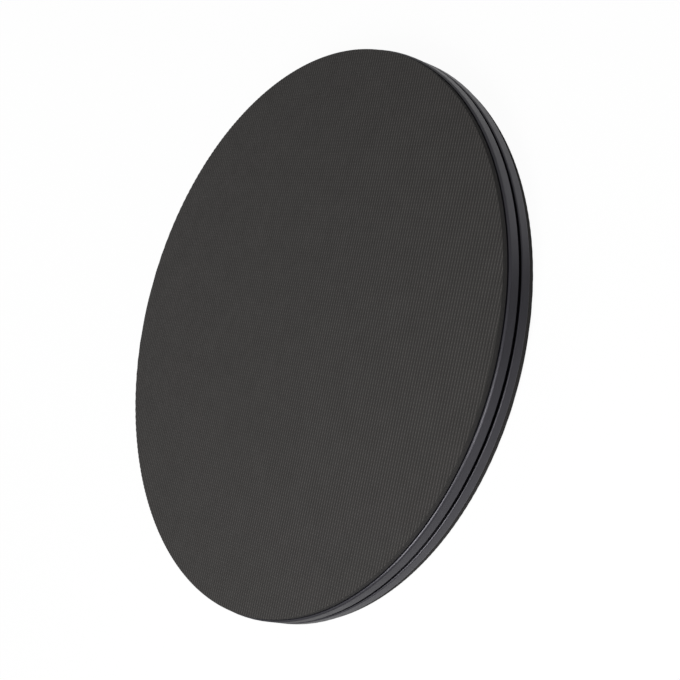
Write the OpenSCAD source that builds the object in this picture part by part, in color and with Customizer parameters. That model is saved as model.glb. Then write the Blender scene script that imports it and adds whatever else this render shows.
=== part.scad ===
// Pivot disc for standing transfers: two moulded discs, each faced with a
// textured rubber mat, turn against each other on a caged ring of balls.
// A pin through the middle holds them together, and glide buttons near the
// rim catch a load that stands off centre.

/* [Discs] */
// Outer diameter of both discs
disc_d = 400; // [380:1:440]
// Thickness of each disc, from its mat face to its running face
disc_t = 8; // [7.6:0.1:10]
// Deck thickness under the mat
deck_t = 3; // [2.4:0.1:3.6]
// Thickness of the outer rim wall
rim_wall = 4; // [3:0.5:6]
// Rounding of the upper disc's rim edge at its mat
edge_r = 1.9; // [1:0.1:2.2]
// Rounding of the lower disc's rim edge at its mat
foot_edge_r = 0.9; // [0.6:0.1:1.9]
// Rounding of the rim edges on both sides of the gap
gap_edge_r = 0.9; // [0.4:0.1:1.1]
// Height of the gap between the two rims
rim_gap = 2.5; // [2:0.1:3]
// How far the upper disc's rim reaches below its running face
rim_drop = 0.3; // [0.1:0.1:0.5]
// Gap between the running faces of the two discs
disc_gap = 1.8; // [1.4:0.1:2.6]
// Width of the dust lip inside the lower disc's rim
lip_w = 2; // [1.5:0.1:3]
// Clearance between the dust lip and the upper disc
lip_clear = 0.4; // [0.3:0.1:0.8]
// Width of the dust groove in the top of the lower disc's rim
dust_groove_w = 3.4; // [2.5:0.1:3.5]
// Depth of the dust groove
dust_groove_depth = 3.5; // [2:0.1:3.8]
// Width of rim left outside the dust groove
dust_groove_land = 0.8; // [0.6:0.1:1.2]
// How far the groove's outer wall leans in towards its floor
dust_groove_lean = 1; // [0.5:0.1:1.2]

/* [Mats] */
// Thickness of each rubber mat
mat_t = 3.9; // [2:0.1:6]
// How far a mat's edge stands in from the rim
mat_inset = 1.5; // [0.5:0.1:4]
// Chamfer on both edges of a mat
mat_chamfer = 0.4; // [0.2:0.1:1]
// How far the groove round a mat's foot shows beyond the mat
mat_groove_w = 0.5; // [0.2:0.1:0.8]
// How far that groove reaches under the mat
mat_groove_under = 1.1; // [0.3:0.1:1.1]
// Depth of that groove
mat_groove_depth = 1; // [0.4:0.1:1.2]
// Thickness of the bonding film under each mat
film_t = 0.5; // [0.3:0.1:1]
// How far the film stands in from the mat's edge
film_inset = 1.2; // [0.5:0.1:3]

/* [Ribs] */
// Thickness of every rib
rib_t = 2; // [1.5:0.1:3]
// How far the ribs stop short of the running face, and the outer ones of the rim's edge
rib_drop = 0.4; // [0.2:0.1:1]
// Radial ribs between the hub and the race, an even number
inner_rib_count = 24; // [16:2:30]
// Radial ribs between the race and the rim
outer_rib_count = 36; // [24:1:48]
// Ring ribs between the hub and the race
ring_rib_count = 2; // [1:1:4]

/* [Ball race] */
// Ball diameter
ball_d = 6.35; // [5:0.05:7]
// Number of balls
ball_count = 36; // [18:1:48]
// Distance from the rim to the circle that the balls run on
ball_rim_dist = 60; // [56:1:80]
// Clearance between a ball and its groove
ball_clear = 0.25; // [0.2:0.05:0.4]
// Width of the flat race rings
race_w = 26; // [24:1:30]
// Steel left under the ball groove
race_floor = 1.4; // [1:0.1:1.8]
// Clearance between a race ring and the ribs beside it
race_side_clear = 1.5; // [0.5:0.1:3]
// Width of the ball cage
cage_w = 16; // [12:1:20]
// Thickness of the ball cage
cage_t = 3; // [2:0.1:3.4]
// Clearance between the cage and each race ring
cage_clear = 0.6; // [0.4:0.1:1]
// Clearance between a ball and its pocket
pocket_clear = 0.15; // [0.1:0.05:0.3]

/* [Race screws] */
// Screws that hold each race ring to its disc
race_screw_count = 8; // [6:1:12]
// Thread diameter of a race screw
race_screw_d = 4; // [3:0.5:4.5]
// Head diameter of a race screw
race_screw_head_d = 7.6; // [7:0.1:8]
// How far in from the ball circle the race screws sit
race_screw_in = 8.5; // [7:0.5:9.5]
// How far a race screw's tip stops short of the race's ball side
race_screw_tip_drop = 0.3; // [0.2:0.1:0.8]

/* [Pivot pin] */
// Diameter of the pin
pin_d = 12; // [10:0.5:14]
// Diameter of the pin's flange
pin_flange_d = 44; // [40:1:50]
// Thickness of the pin's flange
pin_flange_t = 2.4; // [2:0.1:3]
// Length of pin above the retaining ring
pin_nose = 0.6; // [0.5:0.1:0.8]
// Screws that hold the flange to the lower disc
flange_screw_count = 4; // [3:1:6]
// Thread diameter of a flange screw
flange_screw_d = 3.5; // [3:0.5:4]
// Head diameter of a flange screw
flange_screw_head_d = 6.6; // [6:0.1:7]
// Length of a flange screw
flange_screw_len = 6.5; // [5:0.5:7]

/* [Hub] */
// Diameter of the hub boss in both discs
hub_d = 64; // [60:1:72]
// Wall of the bush that runs on the pin
bush_wall = 2; // [1.5:0.1:3]
// Diameter of the bush's flange
bush_flange_d = 26; // [24:1:28]
// Thickness of the bush's flange
bush_flange_t = 1; // [0.8:0.1:1.2]
// Running clearance between the pin and the bush
pin_run_clear = 0.05; // [0.02:0.01:0.1]
// Clearance between faces that turn past each other at the hub
face_run_clear = 0.2; // [0.1:0.05:0.3]
// Diameter of the thrust washer between the hubs
thrust_washer_d = 40; // [30:1:50]
// Diameter of the washer under the retaining ring
pin_washer_d = 24; // [20:1:26]
// Thickness of the washer under the retaining ring
pin_washer_t = 1; // [0.8:0.1:1.2]
// Thickness of the retaining ring
ring_t = 1; // [0.8:0.1:1.2]
// Width of the retaining ring's band
ring_w = 3; // [2:0.1:4]
// Depth of the ring's groove in the pin
ring_groove_depth = 0.5; // [0.3:0.1:0.8]
// Diameter of the hub cap
cap_d = 42; // [40:1:46]
// Thickness of the hub cap
cap_t = 1.2; // [1:0.1:1.4]
// Wall of the cap's skirt
cap_skirt_t = 1.3; // [1:0.1:2]
// Depth of the cap's skirt
cap_skirt_h = 2; // [1.5:0.1:2.5]
// Width of the ledge that carries the cap
cap_ledge = 3; // [2:0.1:3.5]

/* [Glides] */
// Number of glide buttons
glide_count = 12; // [6:1:18]
// Distance from the rim to the middle of a glide button
glide_edge_dist = 23; // [21:0.5:25]
// Diameter of a glide button's head
glide_d = 14; // [10:0.5:16]
// Thickness of a glide button's head
glide_head_t = 2; // [1.5:0.1:2.4]
// Diameter of a glide button's stem
glide_stem_d = 7; // [5:0.5:8]
// Length of a glide button's stem
glide_stem_len = 3; // [2:0.1:3.2]
// Clearance between a glide button and its track
glide_clear = 0.4; // [0.3:0.1:0.6]
// Wall of the boss around a glide button's stem
glide_boss_wall = 4; // [2.5:0.5:5]

/* [Hidden] */
$fn = 96;
// Straight steps in one rounded edge
edge_steps = 6;
// Overrun that carries a cut past the face it opens
cut = 0.5;
// Radial clearance of a screw, stem or washer in its hole
hole_fit = 0.1;
// How far the pin's flange lies under the lower disc's mat face
flange_sink = 0.2;
// Clearance between the pin's nose and the hub cap
cap_nose_clear = 0.2;
// Clearance of the retaining ring in its groove
ring_fit = 0.05;
// Opening between the ears of the retaining ring
ring_opening = 5;
// Radius of each ear of the retaining ring
ring_ear_r = 2;
// Radius of the plier hole in each ear
ring_ear_hole_r = 0.9;
// Hexagon key size of the screws as a share of the thread diameter
key_share = 0.62;
// Depth of the key socket as a share of the head's height
key_depth_share = 0.9;
// Chamfer on the ends of the pin and the screws
end_chamfer = 0.5;
// How far a glide button's track reaches past its head on each side
track_margin = 1;
// Room under a glide button's stem
stem_room = 0.2;
// Edge break on the washers and the cap
trim_chamfer = 0.3;

disc_r = disc_d / 2;
mat_r = disc_r - mat_inset;
film_r = mat_r - film_inset;
lip_in_r = disc_r - rim_wall - lip_clear - lip_w;
dust_groove_r = disc_r - dust_groove_land;
lower_rim_h = disc_t + disc_gap - rim_drop - rim_gap;

// Heights from the floor up
lower_disc_z = mat_t + film_t;
lower_face_z = lower_disc_z + disc_t;
mid_z = lower_face_z + disc_gap / 2;
total_h = 2 * mid_z;

// The race, measured from the middle plane between the discs
ball_pitch_r = disc_r - ball_rim_dist;
ball_r = ball_d / 2;
groove_r = ball_r + ball_clear;
race_land = cage_t / 2 + cage_clear;
race_back = groove_r + race_floor;
race_t = race_back - race_land;
seat_h = disc_t - deck_t + disc_gap / 2 - race_back;
race_in_r = ball_pitch_r - race_w / 2;
race_out_r = ball_pitch_r + race_w / 2;
bay_in_r = race_in_r - race_side_clear;
bay_out_r = race_out_r + race_side_clear;
race_screw_r = ball_pitch_r - race_screw_in;
race_screw_len = deck_t + seat_h + race_t - race_screw_tip_drop;

// The pivot, measured from a disc's running face
hub_r = hub_d / 2;
bush_r = pin_d / 2 + pin_run_clear + bush_wall;
pin_stack = bush_flange_t + face_run_clear + pin_washer_t + ring_t + pin_nose;
hub_seat_t = disc_t - cap_t - cap_nose_clear - pin_stack;
recess_r = cap_d / 2 - cap_ledge;
washer_seat_z = mid_z + disc_gap / 2 + hub_seat_t + bush_flange_t + face_run_clear;
ring_z = washer_seat_z + pin_washer_t;
pin_top_z = ring_z + ring_t + pin_nose;
flange_z = lower_disc_z + flange_sink;
flange_screw_r = (pin_d / 2 + pin_flange_d / 2) / 2;

// The glides
glide_r = disc_r - glide_edge_dist;
track_w = glide_d + 2 * track_margin;
glide_seat_h = disc_t + disc_gap - glide_clear - glide_head_t;

// Points of a round edge about a centre, in degrees
function arc(centre, r, from, to) =
    [for (i = [0:edge_steps])
        let (a = from + (to - from) * i / edge_steps)
        centre + r * [cos(a), sin(a)]];

// A flat ring that stands on the plane z = 0
module ring(r_in, r_out, h) {
    rotate_extrude()
        translate([r_in, 0])
            square([r_out - r_in, h]);
}

// Copies of the children at even steps round the axis
module round_copies(count, r) {
    for (i = [0:count - 1])
        rotate(i * 360 / count)
            translate([r, 0, 0])
                children();
}

// Cutter for a countersunk screw that enters upwards through z = 0
module countersink(d, head_d, depth) {
    translate([0, 0, -cut])
        cylinder(r = head_d / 2 + hole_fit, h = cut);
    cylinder(r1 = head_d / 2 + hole_fit, r2 = d / 2 + hole_fit, h = (head_d - d) / 2);
    cylinder(r = d / 2 + hole_fit, h = depth);
}

// Countersunk screw that points up, with its head's face at z = 0
module flat_screw(d, head_d, len) {
    head_h = (head_d - d) / 2;
    difference() {
        union() {
            cylinder(r1 = head_d / 2, r2 = d / 2, h = head_h);
            cylinder(r = d / 2, h = len - end_chamfer);
            translate([0, 0, len - end_chamfer])
                cylinder(r1 = d / 2, r2 = d / 2 - end_chamfer, h = end_chamfer);
        }
        translate([0, 0, -cut])
            cylinder(r = d * key_share / sqrt(3), h = cut + head_h * key_depth_share, $fn = 6);
    }
}

// Turns a piece over about the middle plane, from the lower disc to the upper
module turned_over() {
    translate([0, 0, total_h])
        mirror([0, 0, 1])
            children();
}

// Mat with its edges chamfered, exposed face at z = 0
module mat() {
    color("#3d3c3b")
        rotate_extrude()
            polygon([
                [0, 0],
                [mat_r - mat_chamfer, 0],
                [mat_r, mat_chamfer],
                [mat_r, mat_t - mat_chamfer],
                [mat_r - mat_chamfer, mat_t],
                [0, mat_t]
            ]);
}

module bond_film() {
    color("#1a1a1c")
        translate([0, 0, mat_t])
            cylinder(r = film_r, h = film_t);
}

// Half outline of a disc's deck and rim, mat face at z = 0
function deck_outline(rim_h, mat_edge_r, run_edge_r) = concat(
    [[0, 0]],
    arc([disc_r - mat_edge_r, mat_edge_r], mat_edge_r, -90, 0),
    arc([disc_r - run_edge_r, rim_h - run_edge_r], run_edge_r, 0, 90),
    [
        [disc_r - rim_wall, rim_h],
        [disc_r - rim_wall, deck_t],
        [0, deck_t]
    ]
);

// Square block of a turned outline, standing on the deck
module turned_block(r_in, r_out, top) {
    translate([r_in, deck_t - rib_t / 2])
        square([r_out - r_in, top - deck_t + rib_t / 2]);
}

// Radial rib that stands on the deck
module radial_rib(r_in, r_out, top) {
    translate([r_in, -rib_t / 2, deck_t - rib_t / 2])
        cube([r_out - r_in, rib_t, top - deck_t + rib_t / 2]);
}

// Deck, rim, hub, race seat and ribs that both discs share, mat face at z = 0
module disc_blank(rim_h, mat_edge_r, run_edge_r) {
    rib_top = disc_t - rib_drop;
    ring_step = (bay_in_r - hub_r) / (ring_rib_count + 1);
    rotate_extrude() {
        polygon(deck_outline(rim_h, mat_edge_r, run_edge_r));
        turned_block(0, hub_r, disc_t);
        turned_block(race_in_r, race_out_r, deck_t + seat_h);
        turned_block(bay_in_r - rib_t, bay_in_r, rib_top);
        turned_block(bay_out_r, bay_out_r + rib_t, rib_top);
        for (i = [1:ring_rib_count])
            turned_block(hub_r + i * ring_step - rib_t, hub_r + i * ring_step, rib_top);
    }
    for (i = [0:inner_rib_count - 1]) {
        start_r = i % 2 == 0 ? hub_r : hub_r + ring_step;
        rotate(i * 360 / inner_rib_count)
            radial_rib(start_r - rib_t / 2, bay_in_r - rib_t / 2, rib_top);
    }
    round_copies(outer_rib_count, 0)
        radial_rib(bay_out_r + rib_t / 2, disc_r - rim_wall + rib_t / 2, rim_h - rib_drop);
}

// Cutter for the groove round a mat's foot, mat face at z = 0
module mat_groove() {
    translate([0, 0, -cut])
        ring(mat_r - mat_groove_under, mat_r + mat_groove_w, cut + mat_groove_depth);
}

// Cutter for the groove in the lower disc's rim, which leaves a tapered lip outside it
module dust_groove() {
    floor_z = lower_rim_h - dust_groove_depth;
    rotate_extrude()
        polygon([
            [dust_groove_r - dust_groove_w, floor_z],
            [dust_groove_r - dust_groove_lean, floor_z],
            [dust_groove_r, lower_rim_h],
            [dust_groove_r, lower_rim_h + cut],
            [dust_groove_r - dust_groove_w, lower_rim_h + cut]
        ]);
}

module race_screw_holes() {
    round_copies(race_screw_count, race_screw_r)
        countersink(race_screw_d, race_screw_head_d, deck_t + seat_h + cut);
}

module lower_disc() {
    stem_hole_h = glide_stem_len + stem_room;
    color("#343437")
        translate([0, 0, lower_disc_z])
            difference() {
                union() {
                    disc_blank(lower_rim_h, foot_edge_r, gap_edge_r);
                    // Lip that keeps dust out of the gap, just inside the rim
                    rotate_extrude() {
                        turned_block(lip_in_r, disc_r - rim_wall / 2, lower_rim_h);
                        turned_block(lip_in_r, lip_in_r + lip_w, disc_t + disc_gap - lip_clear);
                    }
                    round_copies(glide_count, glide_r)
                        translate([0, 0, deck_t - rib_t / 2])
                            cylinder(
                                r = glide_stem_d / 2 + glide_boss_wall,
                                h = glide_seat_h - deck_t + rib_t / 2
                            );
                }
                race_screw_holes();
                // Groove that catches dust and grit between the rim and the lip
                dust_groove();
                mat_groove();
                // Recess for the pin's flange and the hole for its shank
                translate([0, 0, -cut])
                    cylinder(r = pin_flange_d / 2 + hole_fit, h = cut + flange_sink + pin_flange_t);
                cylinder(r = pin_d / 2 + hole_fit, h = disc_t + cut);
                round_copies(flange_screw_count, flange_screw_r)
                    cylinder(r = flange_screw_d / 2 + hole_fit, h = flange_sink + flange_screw_len + stem_room);
                // Stem holes of the glide buttons, and notches in the ribs under their heads
                round_copies(glide_count, glide_r) {
                    translate([0, 0, glide_seat_h - stem_hole_h])
                        cylinder(r = glide_stem_d / 2 + hole_fit, h = stem_hole_h + cut);
                    translate([0, 0, glide_seat_h])
                        cylinder(r = glide_d / 2 + hole_fit, h = disc_t - glide_seat_h + cut);
                }
            }
}

module upper_disc() {
    color("#343437")
        turned_over()
            translate([0, 0, lower_disc_z])
                difference() {
                    union() {
                        disc_blank(disc_t + rim_drop, edge_r, gap_edge_r);
                        // Track that the glide buttons run under
                        rotate_extrude()
                            turned_block(glide_r - track_w / 2, glide_r + track_w / 2, disc_t);
                    }
                    race_screw_holes();
                    mat_groove();
                    // Cap ledge, ring recess and bush hole
                    translate([0, 0, -cut])
                        cylinder(r = cap_d / 2 + hole_fit, h = cut + cap_t);
                    cylinder(r = recess_r, h = disc_t - hub_seat_t);
                    cylinder(r = bush_r, h = disc_t + cut);
                }
}

// Race ring under the balls, in place
module race() {
    color("#8d9096")
        difference() {
            translate([0, 0, mid_z - race_back])
                ring(race_in_r, race_out_r, race_t);
            translate([0, 0, mid_z])
                rotate_extrude()
                    translate([ball_pitch_r, 0])
                        circle(r = groove_r);
            round_copies(race_screw_count, race_screw_r)
                translate([0, 0, mid_z - race_back - cut])
                    cylinder(r = race_screw_d / 2 + hole_fit, h = race_t + 2 * cut);
        }
}

module race_screws() {
    color("#55565a")
        round_copies(race_screw_count, race_screw_r)
            translate([0, 0, lower_disc_z])
                flat_screw(race_screw_d, race_screw_head_d, race_screw_len);
}

module bearing_balls() {
    color("#c9ccd1")
        translate([0, 0, mid_z])
            round_copies(ball_count, ball_pitch_r)
                sphere(r = ball_r);
}

module ball_cage() {
    color("#d8d4c6")
        difference() {
            translate([0, 0, mid_z - cage_t / 2])
                ring(ball_pitch_r - cage_w / 2, ball_pitch_r + cage_w / 2, cage_t);
            translate([0, 0, mid_z])
                round_copies(ball_count, ball_pitch_r)
                    sphere(r = ball_r + pocket_clear);
        }
}

module pivot_pin() {
    groove_r_in = pin_d / 2 - ring_groove_depth;
    groove_h = ring_t + 2 * ring_fit;
    color("#9a9ca1")
        difference() {
            union() {
                translate([0, 0, flange_z])
                    cylinder(r = pin_flange_d / 2, h = pin_flange_t);
                translate([0, 0, flange_z])
                    cylinder(r = pin_d / 2, h = pin_top_z - flange_z - end_chamfer);
                translate([0, 0, pin_top_z - end_chamfer])
                    cylinder(r1 = pin_d / 2, r2 = pin_d / 2 - end_chamfer, h = end_chamfer);
            }
            translate([0, 0, ring_z - ring_fit])
                ring(groove_r_in, pin_d / 2 + cut, groove_h);
            round_copies(flange_screw_count, flange_screw_r)
                translate([0, 0, flange_z])
                    countersink(flange_screw_d, flange_screw_head_d, pin_flange_t + cut);
        }
}

module pin_flange_screws() {
    color("#55565a")
        round_copies(flange_screw_count, flange_screw_r)
            translate([0, 0, flange_z])
                flat_screw(flange_screw_d, flange_screw_head_d, flange_screw_len);
}

// Flat washer with broken outer edges that stands on the plane z = 0
module washer(r_in, r_out, t) {
    rotate_extrude()
        polygon([
            [r_in, 0],
            [r_out - trim_chamfer, 0],
            [r_out, trim_chamfer],
            [r_out, t - trim_chamfer],
            [r_out - trim_chamfer, t],
            [r_in, t]
        ]);
}

module thrust_washer() {
    color("#e4e1d8")
        translate([0, 0, lower_face_z])
            washer(pin_d / 2 + hole_fit, thrust_washer_d / 2, disc_gap - face_run_clear);
}

module pivot_bush() {
    pin_hole_r = pin_d / 2 + pin_run_clear;
    color("#e4e1d8")
        translate([0, 0, mid_z + disc_gap / 2]) {
            ring(pin_hole_r, bush_r, hub_seat_t + bush_flange_t);
            translate([0, 0, hub_seat_t])
                ring(pin_hole_r, bush_flange_d / 2, bush_flange_t);
        }
}

module pin_washer() {
    color("#9a9ca1")
        translate([0, 0, washer_seat_z])
            washer(pin_d / 2 + hole_fit, pin_washer_d / 2, pin_washer_t);
}

module retaining_ring() {
    ring_in_r = pin_d / 2 - ring_groove_depth + ring_fit;
    ring_out_r = ring_in_r + ring_w;
    ear_turn = asin((ring_opening / 2 + ring_ear_r) / ring_out_r);
    color("#55565a")
        translate([0, 0, ring_z])
            linear_extrude(ring_t)
                difference() {
                    union() {
                        circle(r = ring_out_r);
                        for (side = [-1, 1])
                            rotate(side * ear_turn)
                                translate([ring_out_r, 0])
                                    circle(r = ring_ear_r);
                    }
                    circle(r = ring_in_r);
                    translate([0, -ring_opening / 2])
                        square([ring_out_r + 2 * ring_ear_r, ring_opening]);
                    for (side = [-1, 1])
                        rotate(side * ear_turn)
                            translate([ring_out_r, 0])
                                circle(r = ring_ear_hole_r);
                }
}

module hub_cap() {
    skirt_r = recess_r - hole_fit;
    top_z = total_h - lower_disc_z;
    color("#2b2b2e")
        translate([0, 0, top_z - cap_t]) {
            cylinder(r = cap_d / 2, h = cap_t);
            translate([0, 0, -cap_skirt_h])
                ring(skirt_r - cap_skirt_t, skirt_r, cap_skirt_h + cap_t / 2);
        }
}

module glide_buttons() {
    color("#e4e1d8")
        round_copies(glide_count, glide_r)
            translate([0, 0, lower_disc_z + glide_seat_h]) {
                cylinder(r = glide_d / 2, h = glide_head_t - trim_chamfer);
                translate([0, 0, glide_head_t - trim_chamfer])
                    cylinder(r1 = glide_d / 2, r2 = glide_d / 2 - trim_chamfer, h = trim_chamfer);
                translate([0, 0, -glide_stem_len])
                    cylinder(r = glide_stem_d / 2, h = glide_stem_len + glide_head_t / 2);
            }
}

mat();  // bottom_mat
bond_film();  // bottom_bond_film
lower_disc();
race();  // lower_race
race_screws();  // lower_race_screws
pivot_pin();
pin_flange_screws();
thrust_washer();
glide_buttons();
bearing_balls();
ball_cage();
turned_over() race();  // upper_race
turned_over() race_screws();  // upper_race_screws
upper_disc();
pivot_bush();
pin_washer();
retaining_ring();
hub_cap();
turned_over() bond_film();  // top_bond_film
turned_over() mat();  // top_mat
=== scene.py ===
"""Looks of a standing pivot disc: two moulded discs, each faced with an embossed rubber mat."""

import math

import bpy
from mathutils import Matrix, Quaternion, Vector


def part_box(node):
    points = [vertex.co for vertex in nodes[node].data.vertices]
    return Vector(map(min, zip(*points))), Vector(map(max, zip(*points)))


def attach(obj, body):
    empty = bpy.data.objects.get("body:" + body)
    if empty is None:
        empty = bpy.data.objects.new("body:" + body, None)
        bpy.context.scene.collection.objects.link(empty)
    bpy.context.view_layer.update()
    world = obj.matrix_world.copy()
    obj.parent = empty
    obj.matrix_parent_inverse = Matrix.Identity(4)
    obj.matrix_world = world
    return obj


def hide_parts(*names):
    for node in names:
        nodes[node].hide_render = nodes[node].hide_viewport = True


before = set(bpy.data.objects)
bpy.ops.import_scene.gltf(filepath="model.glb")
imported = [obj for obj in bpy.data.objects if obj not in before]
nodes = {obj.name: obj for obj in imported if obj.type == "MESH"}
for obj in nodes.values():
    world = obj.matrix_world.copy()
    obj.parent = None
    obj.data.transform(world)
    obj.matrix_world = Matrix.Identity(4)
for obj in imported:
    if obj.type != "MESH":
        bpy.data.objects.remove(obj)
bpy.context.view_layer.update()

# Millimetre, the unit that the sizes below are written in
MM = 0.001

# Fine ribs embossed on both mats like a weave: notched, and bridged where they are notched
RIB_PITCH = 2.5 * MM
RIB_HEIGHT = 0.5 * MM
NOTCH_DEPTH = 0.225 * MM
BRIDGE_HEIGHT = 0.1 * MM
RIB_COUNT = 160
RIB_TURN = math.radians(4.1)

# Rounded edges of the mats
MAT_EDGE_ROUNDING = 0.5 * MM
MAT_FOOT_ROUNDING = 0.2 * MM
ROUNDING_STEPS = 4

# Steps of a round outline, and the angle up to which faces are shaded as one
RIM_STEPS = 256
SMOOTH_ANGLE = math.radians(38)

# Race rings: their ball groove and their screw holes, as in the CAD
RACE_WIDTH = 26 * MM
BALL_CIRCLE_RADIUS = 140 * MM
GROOVE_RADIUS = 3.425 * MM
GROOVE_STEPS = 48
RACE_SCREWS = 8
RACE_SCREW_CIRCLE_RADIUS = 131.5 * MM
RACE_HOLE_RADIUS = 2.1 * MM
RACE_HOLE_STEPS = 32

# Colours of the mat rubber: its own colour on the sides, painted shade in the valleys between the
# ribs and painted light on the rib tops, and how far its mottle darkens and lightens them
MAT_SIDE_COLOUR = (0.023, 0.022, 0.0216)
MAT_VALLEY_PAINTED_SHADE = (0.0172, 0.0163, 0.0157)
MAT_RIB_TOP_PAINTED_LIGHT = (0.0668, 0.0634, 0.0612)
MAT_DARKER = (0.955, 0.955, 0.955)
MAT_LIGHTER = (1.045, 1.045, 1.045)

# Camera of the photograph
CAMERA_LENS = 79.41
CAMERA_SENSOR = 36.0
CAMERA_DISTANCE = 1011.9 * MM
CAMERA_ELEVATION = math.radians(37.987)
CAMERA_ROLL = math.radians(-75.255)
CAMERA_AIM = Vector((-0.24, -37.41, 13.62)) * MM
CAMERA_CLIP_START = 10 * MM

# Strength of the white room, as light and in reflections
WORLD_LIGHT = 0.14
WORLD_MIRRORED = 0.54

# Floor of white paper, and how much of it glows to the camera and in reflections
FLOOR_SIZE = 8.0
FLOOR_PAPER = 0.9
FLOOR_WHITE_SHARE = 0.96
FLOOR_MIRRORED_SHARE = 0.85

# Painted shade on the glowing floor, seen only in the rim's reflections: brightness of the floor in
# reflections, at places along X and at distances from the axis
FLOOR_SHADE_ALONG = (
    (-0.212, 0.08), (-0.192, 0.55), (-0.157, 0.75), (-0.115, 0.96), (-0.06, 0.98),
    (0.0, 0.66), (0.05, 0.36), (0.07, 0.4), (0.11, 0.92), (0.155, 0.84), (0.19, 0.7),
)
FLOOR_SHADE_OUTWARD = ((0.206, 1.0), (0.223, 0.72), (0.24, 0.55))


def clear_selection():
    """Nothing stays selected, so the next operator acts on the new piece alone."""
    if bpy.context.mode != "OBJECT":
        bpy.ops.object.mode_set(mode="OBJECT")
    bpy.ops.object.select_all(action="DESELECT")


def select_only(piece):
    """Makes a piece the one that operators act on."""
    clear_selection()
    piece.select_set(True)
    bpy.context.view_layer.objects.active = piece


def name_piece(name):
    """Names the object that was just added, and its mesh."""
    piece = bpy.context.object
    piece.name = name
    piece.data.name = name
    return piece


def select_points(piece, wanted):
    """In edit mode, selects the points of a piece that the test accepts."""
    bpy.ops.object.mode_set(mode="EDIT")
    bpy.ops.mesh.select_mode(type="VERT")
    bpy.ops.mesh.select_all(action="DESELECT")
    bpy.ops.object.mode_set(mode="OBJECT")
    for point in piece.data.vertices:
        point.select = wanted(point)
    bpy.ops.object.mode_set(mode="EDIT")


def settle(piece):
    """Puts a piece's place, turn and size into its mesh."""
    select_only(piece)
    bpy.ops.object.transform_apply(location=True, rotation=True, scale=True)


def cut_with(cutter, piece, operation):
    """Cuts a piece with another one, which is then taken away."""
    cut = piece.modifiers.new("cut", "BOOLEAN")
    cut.operation = operation
    cut.solver = "MANIFOLD"
    cut.object = cutter
    select_only(piece)
    bpy.ops.object.modifier_apply(modifier="cut")
    bpy.data.objects.remove(cutter)


def add_cylinder(name, steps, radius, height, middle):
    """Upright cylinder about a middle point, as the start of a piece or as a cutter."""
    clear_selection()
    bpy.ops.mesh.primitive_cylinder_add(vertices=steps, radius=radius, depth=height, location=middle)
    return name_piece(name)


def ribbed_block(name, face_z, back_z):
    """Closed block of mat with notched ribs on the side at face_z, wider than the mat."""
    up = 1 if face_z > back_z else -1
    clear_selection()
    bpy.ops.mesh.primitive_grid_add(
        x_subdivisions=2 * RIB_COUNT,
        y_subdivisions=2 * RIB_COUNT,
        size=RIB_COUNT * RIB_PITCH,
        location=(0, 0, face_z - up * RIB_HEIGHT),
        rotation=(0, 0, RIB_TURN),
    )
    block = name_piece(name)
    row = 2 * RIB_COUNT + 1
    last = row - 1
    inner = range(1, last)
    select_points(block, lambda p: (p.index // row) % 2)
    bpy.ops.transform.translate(value=(0, 0, up * (RIB_HEIGHT - NOTCH_DEPTH)))
    select_points(block, lambda p: (p.index // row) % 2 and (p.index % row) % 2)
    bpy.ops.transform.translate(value=(0, 0, up * NOTCH_DEPTH))
    bridges = {i * row + j for i in inner for j in inner if i % 2 == 0 and j % 2 == 0}
    select_points(block, lambda p: p.index in bridges)
    bpy.ops.transform.translate(value=(0, 0, up * BRIDGE_HEIGHT))
    select_points(block, lambda p: p.index // row in (0, last) or p.index % row in (0, last))
    bpy.ops.mesh.extrude_edges_move(
        TRANSFORM_OT_translate={"value": (0, 0, back_z - face_z - up * RIB_HEIGHT)}
    )
    bpy.ops.mesh.edge_face_add()
    bpy.ops.mesh.select_all(action="SELECT")
    bpy.ops.mesh.quads_convert_to_tris(quad_method="SHORTEST_DIAGONAL")
    bpy.ops.mesh.normals_make_consistent(inside=False)
    settle(block)
    return block


def mat_cutter(face_z, back_z, radius):
    """Round punch of the mat's outline, with both edges rounded."""
    middle = (0, 0, (face_z + back_z) / 2)
    cutter = add_cylinder("mat_cutter", RIM_STEPS, radius, abs(face_z - back_z), middle)
    settle(cutter)
    for edge_z, rounding in ((face_z, MAT_EDGE_ROUNDING), (back_z, MAT_FOOT_ROUNDING)):
        select_points(cutter, lambda p: abs(p.co.z - edge_z) < rounding / 4)
        bpy.ops.mesh.bevel(offset=rounding, segments=ROUNDING_STEPS, affect="EDGES")
    clear_selection()
    return cutter


def embossed_mat(name, node, face_up):
    """Mat punched from embossed sheet, in the place of its plain CAD node."""
    low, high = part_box(node)
    face_z, back_z = (high.z, low.z) if face_up else (low.z, high.z)
    piece = ribbed_block(name, face_z, back_z)
    cut_with(mat_cutter(face_z, back_z, high.x), piece, "INTERSECT")
    bpy.ops.object.shade_smooth_by_angle(angle=SMOOTH_ANGLE)
    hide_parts(node)
    return piece


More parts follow.
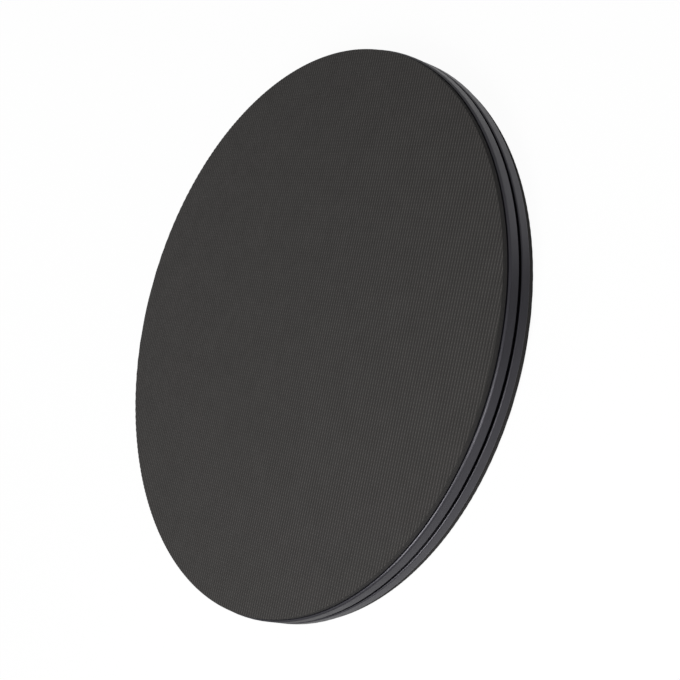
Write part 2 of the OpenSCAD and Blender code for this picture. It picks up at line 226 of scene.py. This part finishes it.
def race_ring(name, node):
    """Race ring whose ball groove is finely stepped, in the place of its coarser CAD node."""
    low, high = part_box(node)
    ball_low, ball_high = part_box("bearing_balls")
    middle = Vector((0, 0, (low.z + high.z) / 2))
    height = high.z - low.z
    through = 2 * height
    piece = add_cylinder(name, RIM_STEPS, high.x, height, middle)
    settle(piece)
    bore = add_cylinder("race_bore", RIM_STEPS, high.x - RACE_WIDTH, through, middle)
    cut_with(bore, piece, "DIFFERENCE")
    clear_selection()
    bpy.ops.mesh.primitive_torus_add(
        major_radius=BALL_CIRCLE_RADIUS,
        minor_radius=GROOVE_RADIUS,
        major_segments=RIM_STEPS,
        minor_segments=GROOVE_STEPS,
        location=(0, 0, (ball_low.z + ball_high.z) / 2),
    )
    cut_with(name_piece("ball_groove"), piece, "DIFFERENCE")
    for step in range(RACE_SCREWS):
        turn = 2 * math.pi * step / RACE_SCREWS
        across = Vector((math.cos(turn), math.sin(turn), 0)) * RACE_SCREW_CIRCLE_RADIUS
        hole = add_cylinder("race_hole", RACE_HOLE_STEPS, RACE_HOLE_RADIUS, through, across + middle)
        cut_with(hole, piece, "DIFFERENCE")
    bpy.ops.object.shade_smooth_by_angle(angle=SMOOTH_ANGLE)
    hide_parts(node)
    return piece


class Finish:
    """A node material with short ways to add what most finishes here need."""

    def __init__(self, name):
        self.material = bpy.data.materials.new(name)
        self.material.use_nodes = True
        self.tree = self.material.node_tree
        self.shader = self.tree.nodes["Principled BSDF"]
        self.place = self.node("ShaderNodeTexCoord").outputs["Object"]

    def node(self, kind, **settings):
        """Adds a node with some of its settings."""
        made = self.tree.nodes.new(kind)
        for key, value in settings.items():
            setattr(made, key, value)
        return made

    def link(self, source, target):
        """Joins an output to an input."""
        self.tree.links.new(source, target)

    def set(self, **values):
        """Sets the shader's inputs to constant values."""
        for key, value in values.items():
            self.shader.inputs[key.replace("_", " ")].default_value = value

    def feed(self, name, source):
        """Joins an output to one of the shader's inputs."""
        self.link(source, self.shader.inputs[name])

    def noise(self, grain_size, detail=3.0, roughness=0.55, place=None):
        """Noise whose blotches are about grain_size across, in metres."""
        made = self.node("ShaderNodeTexNoise")
        made.inputs["Scale"].default_value = 1 / grain_size
        made.inputs["Detail"].default_value = detail
        made.inputs["Roughness"].default_value = roughness
        self.link(place or self.place, made.inputs["Vector"])
        return made.outputs["Fac"]

    def spread(self, value, low, high, source=(0.3, 0.7)):
        """Maps a value from its source range, which for noise is 0.3 to 0.7, onto another."""
        made = self.node("ShaderNodeMapRange")
        made.inputs["From Min"].default_value = source[0]
        made.inputs["From Max"].default_value = source[1]
        made.inputs["To Min"].default_value = low
        made.inputs["To Max"].default_value = high
        self.link(value, made.inputs["Value"])
        return made.outputs["Result"]

    def blend(self, value, dark, light):
        """Blends two colours by a value from 0 to 1."""
        made = self.node("ShaderNodeMix", data_type="RGBA")
        self.link(value, made.inputs["Factor"])
        made.inputs["A"].default_value = (*dark, 1)
        made.inputs["B"].default_value = (*light, 1)
        return made.outputs["Result"]

    def mottle(self, grain_size, dark, light):
        """Blotches of two colours that run into each other."""
        return self.blend(self.spread(self.noise(grain_size), 0, 1), dark, light)

    def ramp(self, value, *stops):
        """Runs through colours at set places between 0 and 1."""
        made = self.node("ShaderNodeValToRGB")
        while len(made.color_ramp.elements) < len(stops):
            made.color_ramp.elements.new(0.5)
        for element, (place, colour) in zip(made.color_ramp.elements, stops):
            element.position = place
            element.color = (*colour, 1)
        self.link(value, made.inputs["Fac"])
        return made.outputs["Color"]

    def bump(self, height, distance, strength=1.0):
        """Fine relief that is too small to model."""
        made = self.node("ShaderNodeBump")
        made.inputs["Distance"].default_value = distance
        made.inputs["Strength"].default_value = strength
        self.link(height, made.inputs["Height"])
        self.feed("Normal", made.outputs["Normal"])

    def height(self):
        """Height of a point above the floor."""
        made = self.node("ShaderNodeSeparateXYZ")
        self.link(self.place, made.inputs["Vector"])
        return made.outputs["Z"]

    def reach(self):
        """Distance of a point from the turning axis."""
        flat = self.node("ShaderNodeVectorMath", operation="MULTIPLY")
        flat.inputs[1].default_value = (1, 1, 0)
        self.link(self.place, flat.inputs[0])
        length = self.node("ShaderNodeVectorMath", operation="LENGTH")
        self.link(flat.outputs["Vector"], length.inputs[0])
        return length.outputs["Value"]


def mat_rubber(name, valley_z, peak_z):
    """Charcoal rubber: painted shade darkens the valleys and painted light brightens the tops of the
    ribs, by height.
    """
    finish = Finish(name)
    finish.set(Specular_IOR_Level=0.14)
    # Colour by height paints shade into the valleys, at the middle of the ramp, and light onto the
    # rib tops, at its end
    level = finish.spread(finish.height(), 0, 1, (2 * valley_z - peak_z, peak_z))
    colour = finish.ramp(
        level, (0.3, MAT_SIDE_COLOUR), (0.5, MAT_VALLEY_PAINTED_SHADE), (1.0, MAT_RIB_TOP_PAINTED_LIGHT)
    )
    tint = finish.node("ShaderNodeMix", data_type="RGBA", blend_type="MULTIPLY")
    tint.inputs["Factor"].default_value = 1.0
    finish.link(colour, tint.inputs["A"])
    finish.link(finish.mottle(18 * MM, MAT_DARKER, MAT_LIGHTER), tint.inputs["B"])
    finish.feed("Base Color", tint.outputs["Result"])
    finish.feed("Roughness", finish.spread(finish.noise(6 * MM), 0.78, 0.9))
    finish.bump(finish.noise(0.35 * MM, detail=2.0), distance=0.02 * MM)
    return finish.material


def disc_plastic():
    """Satin black moulding with a fine spark-eroded grain."""
    finish = Finish("disc_plastic_satin")
    finish.set(Specular_IOR_Level=0.66, Specular_Tint=(0.935, 0.915, 1, 1))
    blotches = finish.mottle(25 * MM, dark=(0.0078, 0.0074, 0.0104), light=(0.0105, 0.01, 0.0135))
    finish.feed("Base Color", blotches)
    finish.feed("Roughness", finish.spread(finish.noise(4 * MM), 0.34, 0.4))
    finish.bump(finish.noise(0.5 * MM, detail=2.0), distance=0.012 * MM)
    return finish.material


def turned_metal(name, dark, light, roughness, ring_size=0.4 * MM):
    """Steel with fine rings left by turning or pressing."""
    finish = Finish(name)
    finish.set(Metallic=1.0)
    rings = finish.node("ShaderNodeCombineXYZ")
    finish.link(finish.reach(), rings.inputs["X"])
    grooves = finish.noise(ring_size, detail=2.0, place=rings.outputs["Vector"])
    finish.feed("Base Color", finish.blend(finish.spread(grooves, 0, 1), dark, light))
    patches = finish.noise(8 * MM)
    finish.feed("Roughness", finish.spread(patches, roughness * 0.8, roughness * 1.2))
    finish.bump(grooves, distance=0.01 * MM, strength=0.5)
    return finish.material


def moulded_polymer(name, dark, light, roughness):
    """Unpainted engineering plastic with a faint mottle."""
    finish = Finish(name)
    finish.set(Specular_IOR_Level=0.45)
    finish.feed("Base Color", finish.mottle(7 * MM, dark, light))
    patches = finish.noise(3 * MM)
    finish.feed("Roughness", finish.spread(patches, roughness * 0.85, roughness * 1.15))
    finish.bump(finish.noise(0.6 * MM, detail=2.0), distance=0.01 * MM)
    return finish.material


def dress(piece, material):
    """Gives a new piece its one finish, in place of the empty slot that its cuts leave."""
    piece.data.materials.clear()
    piece.data.materials.append(material)


def give(material, *names):
    """Gives CAD nodes a finish in place of their plain one."""
    for name in names:
        for slot in nodes[name].material_slots:
            slot.material = material


def brightest(tree, *values):
    """The largest of some values."""
    total = values[0]
    for value in values[1:]:
        larger = tree.nodes.new("ShaderNodeMath")
        larger.operation = "MAXIMUM"
        tree.links.new(total, larger.inputs[0])
        tree.links.new(value, larger.inputs[1])
        total = larger.outputs[0]
    return total


def rays(tree, kind, high, low=0.0):
    """One value for a kind of ray and another for all the rest."""
    path = tree.nodes.new("ShaderNodeLightPath")
    made = tree.nodes.new("ShaderNodeMapRange")
    made.inputs["To Min"].default_value = low
    made.inputs["To Max"].default_value = high
    tree.links.new(path.outputs[kind], made.inputs["Value"])
    return made.outputs["Result"]


def grey_ramp(tree, value, stops):
    """Runs through greys at set values of a length."""
    first, last = stops[0][0], stops[-1][0]
    along = tree.nodes.new("ShaderNodeMapRange")
    along.inputs["From Min"].default_value = first
    along.inputs["From Max"].default_value = last
    tree.links.new(value, along.inputs["Value"])
    made = tree.nodes.new("ShaderNodeValToRGB")
    elements = made.color_ramp.elements
    for length, _ in stops[1:-1]:
        elements.new((length - first) / (last - first))
    for element, (_, grey) in zip(elements, stops):
        element.color = (grey, grey, grey, 1)
    tree.links.new(along.outputs["Result"], made.inputs["Fac"])
    return made.outputs["Color"]


def white_share(tree):
    """How white the floor is to camera, glossy and transmission rays; the rest is lit paper."""
    return brightest(
        tree,
        rays(tree, "Is Camera Ray", FLOOR_WHITE_SHARE),
        rays(tree, "Is Glossy Ray", FLOOR_MIRRORED_SHARE),
        rays(tree, "Is Transmission Ray", FLOOR_MIRRORED_SHARE),
    )


def glow_strength(tree):
    """1 to the camera; in the rim's reflections the floor's glow carries painted shade, uneven along
    X and fading outwards.
    """
    place = tree.nodes.new("ShaderNodeTexCoord")
    split = tree.nodes.new("ShaderNodeSeparateXYZ")
    tree.links.new(place.outputs["Object"], split.inputs["Vector"])
    outward = tree.nodes.new("ShaderNodeVectorMath")
    outward.operation = "LENGTH"
    tree.links.new(place.outputs["Object"], outward.inputs[0])
    # Painted shade: the glow is dimmed by place, and only reflections show it
    uneven = tree.nodes.new("ShaderNodeMath")
    uneven.operation = "MULTIPLY"
    tree.links.new(grey_ramp(tree, split.outputs["X"], FLOOR_SHADE_ALONG), uneven.inputs[0])
    tree.links.new(grey_ramp(tree, outward.outputs["Value"], FLOOR_SHADE_OUTWARD), uneven.inputs[1])
    return brightest(tree, uneven.outputs[0], rays(tree, "Is Camera Ray", 1.0))


def floor_finish():
    """White to the camera, with the disc's soft shadow, and clear from below."""
    material = bpy.data.materials.new("white_floor")
    material.use_nodes = True
    tree = material.node_tree
    tree.nodes.clear()
    output = tree.nodes.new("ShaderNodeOutputMaterial")
    paper = tree.nodes.new("ShaderNodeBsdfDiffuse")
    paper.inputs["Color"].default_value = (FLOOR_PAPER, FLOOR_PAPER, FLOOR_PAPER, 1)
    glow = tree.nodes.new("ShaderNodeEmission")
    glow.inputs["Color"].default_value = (1, 1, 1, 1)
    tree.links.new(glow_strength(tree), glow.inputs["Strength"])
    lit = tree.nodes.new("ShaderNodeMixShader")
    tree.links.new(white_share(tree), lit.inputs["Fac"])
    tree.links.new(paper.outputs[0], lit.inputs[1])
    tree.links.new(glow.outputs[0], lit.inputs[2])
    clear = tree.nodes.new("ShaderNodeBsdfTransparent")
    side = tree.nodes.new("ShaderNodeNewGeometry")
    sided = tree.nodes.new("ShaderNodeMixShader")
    tree.links.new(side.outputs["Backfacing"], sided.inputs["Fac"])
    tree.links.new(lit.outputs[0], sided.inputs[1])
    tree.links.new(clear.outputs[0], sided.inputs[2])
    tree.links.new(sided.outputs[0], output.inputs["Surface"])
    return material


def make_floor():
    """Flat floor that the disc lies on."""
    clear_selection()
    bpy.ops.mesh.primitive_plane_add(size=FLOOR_SIZE, location=(0, 0, 0))
    floor = name_piece("floor")
    floor.data.materials.append(floor_finish())


def make_world():
    """White room: white to the camera, dimmer in reflections and dimmest as light."""
    world = bpy.data.worlds.new("white_room")
    bpy.context.scene.world = world
    world.use_nodes = True
    tree = world.node_tree
    background = tree.nodes["Background"]
    background.inputs["Color"].default_value = (1, 1, 1, 1)
    strength = brightest(
        tree,
        rays(tree, "Is Camera Ray", 1.0),
        rays(tree, "Is Transmission Ray", 1.0),
        rays(tree, "Is Glossy Ray", WORLD_MIRRORED, low=WORLD_LIGHT),
    )
    tree.links.new(strength, background.inputs["Strength"])


def softbox(name, direction, distance, width, height, power):
    """Flat lamp that faces the disc from a direction, in metres and watts."""
    clear_selection()
    place = Vector(direction).normalized() * distance
    bpy.ops.object.light_add(type="AREA", location=place)
    lamp = name_piece(name)
    lamp.rotation_euler = place.to_track_quat("Z", "Y").to_euler()
    lamp.data.shape = "RECTANGLE"
    lamp.data.size = width
    lamp.data.size_y = height
    lamp.data.energy = power


def make_camera():
    """Camera that looks down on the disc, rolled so that the disc seems to stand on edge."""
    clear_selection()
    back = Vector((0, -math.cos(CAMERA_ELEVATION), math.sin(CAMERA_ELEVATION)))
    bpy.ops.object.camera_add(location=CAMERA_AIM + back * CAMERA_DISTANCE)
    camera = name_piece("photo_camera")
    level = back.to_track_quat("Z", "Y")
    camera.rotation_euler = (level @ Quaternion((0, 0, 1), CAMERA_ROLL)).to_euler()
    camera.data.lens = CAMERA_LENS
    camera.data.sensor_width = CAMERA_SENSOR
    camera.data.clip_start = CAMERA_CLIP_START
    bpy.context.scene.camera = camera


bpy.context.scene.view_settings.view_transform = "Standard"
make_camera()
make_world()
make_floor()
softbox("key_softbox", (-0.57, -0.246, 0.784), distance=1.1, width=0.34, height=0.69, power=9.4)
softbox("front_softbox", (-0.187, -0.902, 0.34), distance=1.1, width=0.4, height=0.37, power=4.4)
softbox("overhead_softbox", (-0.3, -0.26, 0.92), distance=1.1, width=0.3, height=0.36, power=1.4)
softbox("back_softbox", (0.05, 0.83, 0.55), distance=0.9, width=0.6, height=0.6, power=2.1)

# Mats, each with a finish that knows the height of its own ribs
standing_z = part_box("top_mat")[1].z
top_mat = embossed_mat("standing_mat", "top_mat", face_up=True)
dress(top_mat, mat_rubber("standing_mat_rubber", standing_z - RIB_HEIGHT, standing_z))
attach(top_mat, "turntable")
floor_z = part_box("bottom_mat")[0].z
bottom_mat = embossed_mat("floor_mat", "bottom_mat", face_up=False)
dress(bottom_mat, mat_rubber("floor_mat_rubber", floor_z + RIB_HEIGHT, floor_z))
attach(bottom_mat, "base")

# Race rings
race_steel = turned_metal(
    "race_steel_pressed", dark=(0.36, 0.37, 0.39), light=(0.5, 0.51, 0.53), roughness=0.3
)
lower_race = race_ring("lower_race_ring", "lower_race")
dress(lower_race, race_steel)
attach(lower_race, "base")
upper_race = race_ring("upper_race_ring", "upper_race")
dress(upper_race, race_steel)
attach(upper_race, "turntable")

# Finishes of the CAD nodes
bond_film = moulded_polymer(
    "bond_film_black", dark=(0.006, 0.006, 0.007), light=(0.009, 0.009, 0.01), roughness=0.5
)
cap_plastic = moulded_polymer(
    "cap_black", dark=(0.011, 0.011, 0.013), light=(0.016, 0.016, 0.019), roughness=0.45
)
pin_steel = turned_metal(
    "pin_steel_turned", (0.4, 0.41, 0.42), (0.55, 0.55, 0.56), roughness=0.32, ring_size=0.25 * MM
)
screw_steel = turned_metal(
    "screw_steel_black", dark=(0.07, 0.07, 0.075), light=(0.12, 0.12, 0.125), roughness=0.4
)
ball_steel = turned_metal(
    "ball_steel_polished", (0.68, 0.69, 0.7), (0.75, 0.76, 0.77), roughness=0.08, ring_size=5 * MM
)
cage_nylon = moulded_polymer(
    "cage_nylon_natural", dark=(0.58, 0.55, 0.46), light=(0.68, 0.65, 0.56), roughness=0.5
)
acetal = moulded_polymer(
    "acetal_natural", dark=(0.72, 0.7, 0.64), light=(0.8, 0.78, 0.73), roughness=0.38
)
give(disc_plastic(), "upper_disc", "lower_disc")
give(bond_film, "top_bond_film", "bottom_bond_film")
give(cap_plastic, "hub_cap")
give(pin_steel, "pivot_pin", "pin_washer")
give(screw_steel, "lower_race_screws", "upper_race_screws", "pin_flange_screws", "retaining_ring")
give(ball_steel, "bearing_balls")
give(cage_nylon, "ball_cage")
give(acetal, "thrust_washer", "pivot_bush", "glide_buttons")
